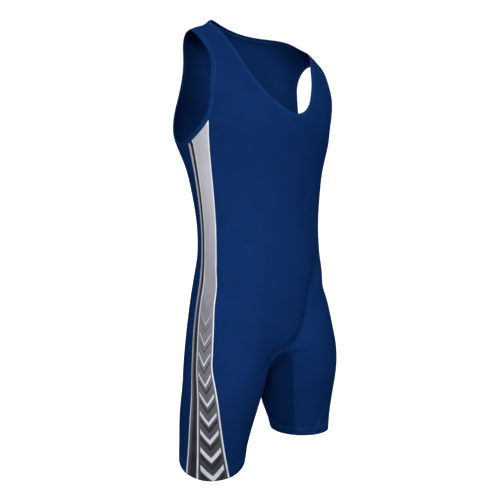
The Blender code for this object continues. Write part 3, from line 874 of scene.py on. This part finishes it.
def runs_of(form, sewn):
    """The stretches of a sheet's edges that are sewn, or those that are free: points, and if closed."""
    mark = form.verts.layers.int["sewn"]
    for loop in edge_loops(form):
        marks = [(vertex[mark] == 1) == sewn for vertex in loop]
        points = [vertex.co.copy() for vertex in loop]
        if all(marks):
            yield points, True
        elif any(marks):
            start = next(i for i, mark in enumerate(marks) if mark and not marks[i - 1])
            run = []
            for i in [*range(start, len(points)), *range(start)]:
                if marks[i]:
                    run.append(points[i])
                elif run:
                    yield run, False
                    run = []
            if run:
                yield run, False


def row_beside(points, closed_run, surface, distance):
    """A line on a sheet that keeps a distance from a stretch of its edge."""
    count = len(points)
    row = []
    for i, point in enumerate(points):
        before = points[(i - 4) % count if closed_run else max(i - 4, 0)]
        after = points[(i + 4) % count if closed_run else min(i + 4, count - 1)]
        inwards = surface.find_nearest(point)[1].cross(after - before).normalized()
        tries = [surface.find_nearest(point + inwards * side * distance) for side in (1, -1)]
        row.append(min(tries, key=lambda hit: hit[3])[0])
    return row + row[:1] if closed_run else row


def sew(form, row, surface, stitch):
    """One stitch after another along a row, each a slim capsule half sunk in the cloth."""
    left = stitch.pitch / 2
    for start, end in zip(row, row[1:]):
        run = (end - start).length
        while left < run:
            spot, up, _, _ = surface.find_nearest(start.lerp(end, left / run))
            across = up.cross(end - start).normalized()
            axes = Matrix((across.cross(up), across, up)).transposed().to_4x4()
            size = Matrix.Diagonal((stitch.length, stitch.thread, stitch.thread, 1.0))
            place = Matrix.Translation(spot + up * stitch.thread * 0.2) @ axes @ size
            bmesh.ops.create_uvsphere(form, u_segments=stitch.sides, v_segments=4, radius=0.5, matrix=place)
            left += stitch.pitch
        left -= run


def sew_rows(node, sewn, distances, stitch, thread):
    """Rows of stitches at distances from a sheet's sewn edges, or from its free ones."""
    sheet = opened(sheet_of(node))
    surface = BVHTree.FromBMesh(sheet)
    form = bmesh.new()
    for points, closed_run in runs_of(sheet, sewn):
        if len(points) > 8:
            for distance in distances:
                sew(form, row_beside(points, closed_run, surface, distance), surface, stitch)
    sheet.free()
    piece = add_piece(f"{node}_stitches", form, thread)
    piece.data.shade_smooth()
    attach(piece, "root")
    return piece


# Stage


def add_room(stage):
    """A round pale floor that curves up into a wall all round."""
    form = bmesh.new()
    bend = 0.9
    path = [Vector((0.0, 0.0, stage.floor))]
    for k in range(9):
        turn = math.pi / 2 * k / 8
        out, up = stage.radius - bend + bend * math.sin(turn), bend * (1 - math.cos(turn))
        path.append(Vector((out, 0.0, stage.floor + up)))
    path.append(Vector((stage.radius, 0.0, stage.floor + 3.6)))
    verts = [form.verts.new(point) for point in path]
    edges = [form.edges.new(pair) for pair in zip(verts, verts[1:])]
    bmesh.ops.spin(form, geom=verts + edges, axis=(0, 0, 1), angle=math.tau, steps=72, use_merge=True)
    bmesh.ops.remove_doubles(form, verts=form.verts, dist=0.0001)
    bmesh.ops.recalc_face_normals(form, faces=form.faces)
    room = add_piece("room", form, background_paper(stage.pale, stage.glow))
    room.data.shade_smooth()
    room.visible_diffuse = False
    room.visible_glossy = False


def add_light(name, place, aim, size, power, spread):
    """A round soft light with a grid, aimed at a point."""
    lamp = bpy.data.lights.new(name, "AREA")
    lamp.shape = "DISK"
    lamp.size = size
    lamp.energy = power
    lamp.spread = spread
    holder = bpy.data.objects.new(name, lamp)
    holder.visible_camera = False
    bpy.context.scene.collection.objects.link(holder)
    holder.location = place
    holder.rotation_euler = (Vector(aim) - Vector(place)).to_track_quat("-Z", "Y").to_euler()


def add_daylight(strength, colour):
    world = bpy.data.worlds.new("soft_daylight")
    world.use_nodes = True
    ground = world.node_tree.nodes["Background"]
    ground.inputs["Color"].default_value = linear(colour)
    ground.inputs["Strength"].default_value = strength
    bpy.context.scene.world = world


def add_camera(stage):
    """A level camera that looks along its own line to the middle of the suit."""
    data = bpy.data.cameras.new("camera")
    data.lens = stage.lens
    data.sensor_width = SENSOR
    data.shift_x, data.shift_y = stage.shift
    holder = bpy.data.objects.new("camera", data)
    bpy.context.scene.collection.objects.link(holder)
    holder.location = stage.eye
    ahead = Vector((-stage.eye[0], -stage.eye[1], 0.0))
    holder.rotation_euler = ahead.to_track_quat("-Z", "Y").to_euler()
    bpy.context.scene.camera = holder


# Operators


class SINGLET_OT_panels(bpy.types.Operator):
    """Lay the five panels of the suit on its frame as smooth sheets"""

    bl_idname = "singlet.panels"
    bl_label = "Panels"

    def execute(self, context):
        cloth = context.scene.singlet_cloth
        neighbours = Neighbours()
        blue = dyed_knit("dyed_stretch_knit", cloth.blue, "#092048", "#071e42")
        # The crotch panel is drawn in a darker blue than the front, right up to their seam.
        dark = dyed_knit("gusset_stretch_knit", cloth.gusset, "#041839", "#041635")
        printed, plain = printed_knit(cloth), undyed_knit()
        for node in PANELS:
            side = node.startswith("side")
            fabric = (printed, plain) if side else (dark if node == "crotch_panel" else blue,)
            piece = cloth_sheet(node, cloth.edge_row, *fabric)
            refine_hem(piece, node, neighbours, cloth.hem_depth * 1.3)
            if side:
                map_print(piece, node, neighbours)
        return {"FINISHED"}


class SINGLET_OT_bindings(bpy.types.Operator):
    """Lay the bands of the neck and the armholes on the frame as smooth sheets"""

    bl_idname = "singlet.bindings"
    bl_label = "Bindings"

    def execute(self, context):
        cloth = context.scene.singlet_cloth
        blue = dyed_knit("folded_knit_band", cloth.band, "#0a244c", "#082145")
        for node in BINDINGS:
            cloth_sheet(node, cloth.edge_row * 0.75, blue)
        return {"FINISHED"}


class SINGLET_OT_seams(bpy.types.Operator):
    """Draw the sheets together at their seams, and shape their seams, folds and edges"""

    bl_idname = "singlet.seams"
    bl_label = "Seams and folds"

    def execute(self, context):
        cloth, stitch = context.scene.singlet_cloth, context.scene.singlet_stitch
        neighbours = Neighbours()
        tables = {node: sewn_table(node, neighbours) for node in PANELS + BINDINGS}
        draw_all_together(tables)
        for node in PANELS:
            shape_panel(node, cloth, fold_table(node, context.scene.singlet_stage, neighbours), neighbours)
        for node in BINDINGS:
            shape_band(node, cloth, stitch.band_row, neighbours)
        draw_all_together(tables)
        return {"FINISHED"}


class SINGLET_OT_stitches(bpy.types.Operator):
    """Sew the bands and the hems with rows of stitches"""

    bl_idname = "singlet.stitches"
    bl_label = "Stitches"

    def execute(self, context):
        stitch, depth = context.scene.singlet_stitch, context.scene.singlet_cloth.hem_depth
        thread = sewing_thread(stitch.colour)
        for node in BINDINGS:
            sew_rows(node, True, (stitch.band_row,), stitch, thread)
        for node in PANELS:
            rows = (depth, depth - stitch.twin)
            sew_rows(node, False, rows, stitch, thread)
        return {"FINISHED"}


class SINGLET_OT_walls(bpy.types.Operator):
    """Give every sheet its thickness, with the hems doubled"""

    bl_idname = "singlet.walls"
    bl_label = "Thickness"

    def execute(self, context):
        cloth = context.scene.singlet_cloth
        for node in PANELS:
            give_wall(sheet_of(node), cloth.wall * 2, "layers")
        for node in BINDINGS:
            give_wall(sheet_of(node), cloth.band_wall)
        return {"FINISHED"}


class SINGLET_OT_stage(bpy.types.Operator):
    """Make the floor, the lights and the camera"""

    bl_idname = "singlet.stage"
    bl_label = "Stage"

    def execute(self, context):
        stage = context.scene.singlet_stage
        add_room(stage)
        for name, (place, aim, size) in LAMPS.items():
            add_light(name, place, aim, size, getattr(stage, name), stage.spread)
        add_daylight(stage.daylight, stage.sky)
        add_camera(stage)
        context.scene.view_settings.view_transform = "Standard"
        return {"FINISHED"}


class SINGLET_PT_sidebar(bpy.types.Panel):
    """The singlet's settings, and the steps that make it"""

    bl_idname = "SINGLET_PT_sidebar"
    bl_label = "Singlet"
    bl_space_type = "VIEW_3D"
    bl_region_type = "UI"
    bl_category = "Singlet"

    def draw(self, context):
        for name in SETTINGS:
            settings = getattr(context.scene, name)
            box = self.layout.box()
            for value in settings.__annotations__:
                box.prop(settings, value)
        for operator in OPERATORS:
            self.layout.operator(operator.bl_idname)


SETTINGS = {"singlet_cloth": ClothSettings, "singlet_stitch": StitchSettings, "singlet_stage": StageSettings}
OPERATORS = (
    SINGLET_OT_panels,
    SINGLET_OT_bindings,
    SINGLET_OT_seams,
    SINGLET_OT_stitches,
    SINGLET_OT_walls,
    SINGLET_OT_stage,
)
CLASSES = (*SETTINGS.values(), *OPERATORS, SINGLET_PT_sidebar)


def register():
    for kind in CLASSES:
        bpy.utils.register_class(kind)
    for name, kind in SETTINGS.items():
        setattr(bpy.types.Scene, name, PointerProperty(type=kind))


def unregister():
    for name in SETTINGS:
        delattr(bpy.types.Scene, name)
    for kind in reversed(CLASSES):
        bpy.utils.unregister_class(kind)


def main():
    register()
    bpy.ops.singlet.panels()
    bpy.ops.singlet.bindings()
    bpy.ops.singlet.seams()
    bpy.ops.singlet.stitches()
    bpy.ops.singlet.walls()
    bpy.ops.singlet.stage()


if __name__ == "__main__":
    main()
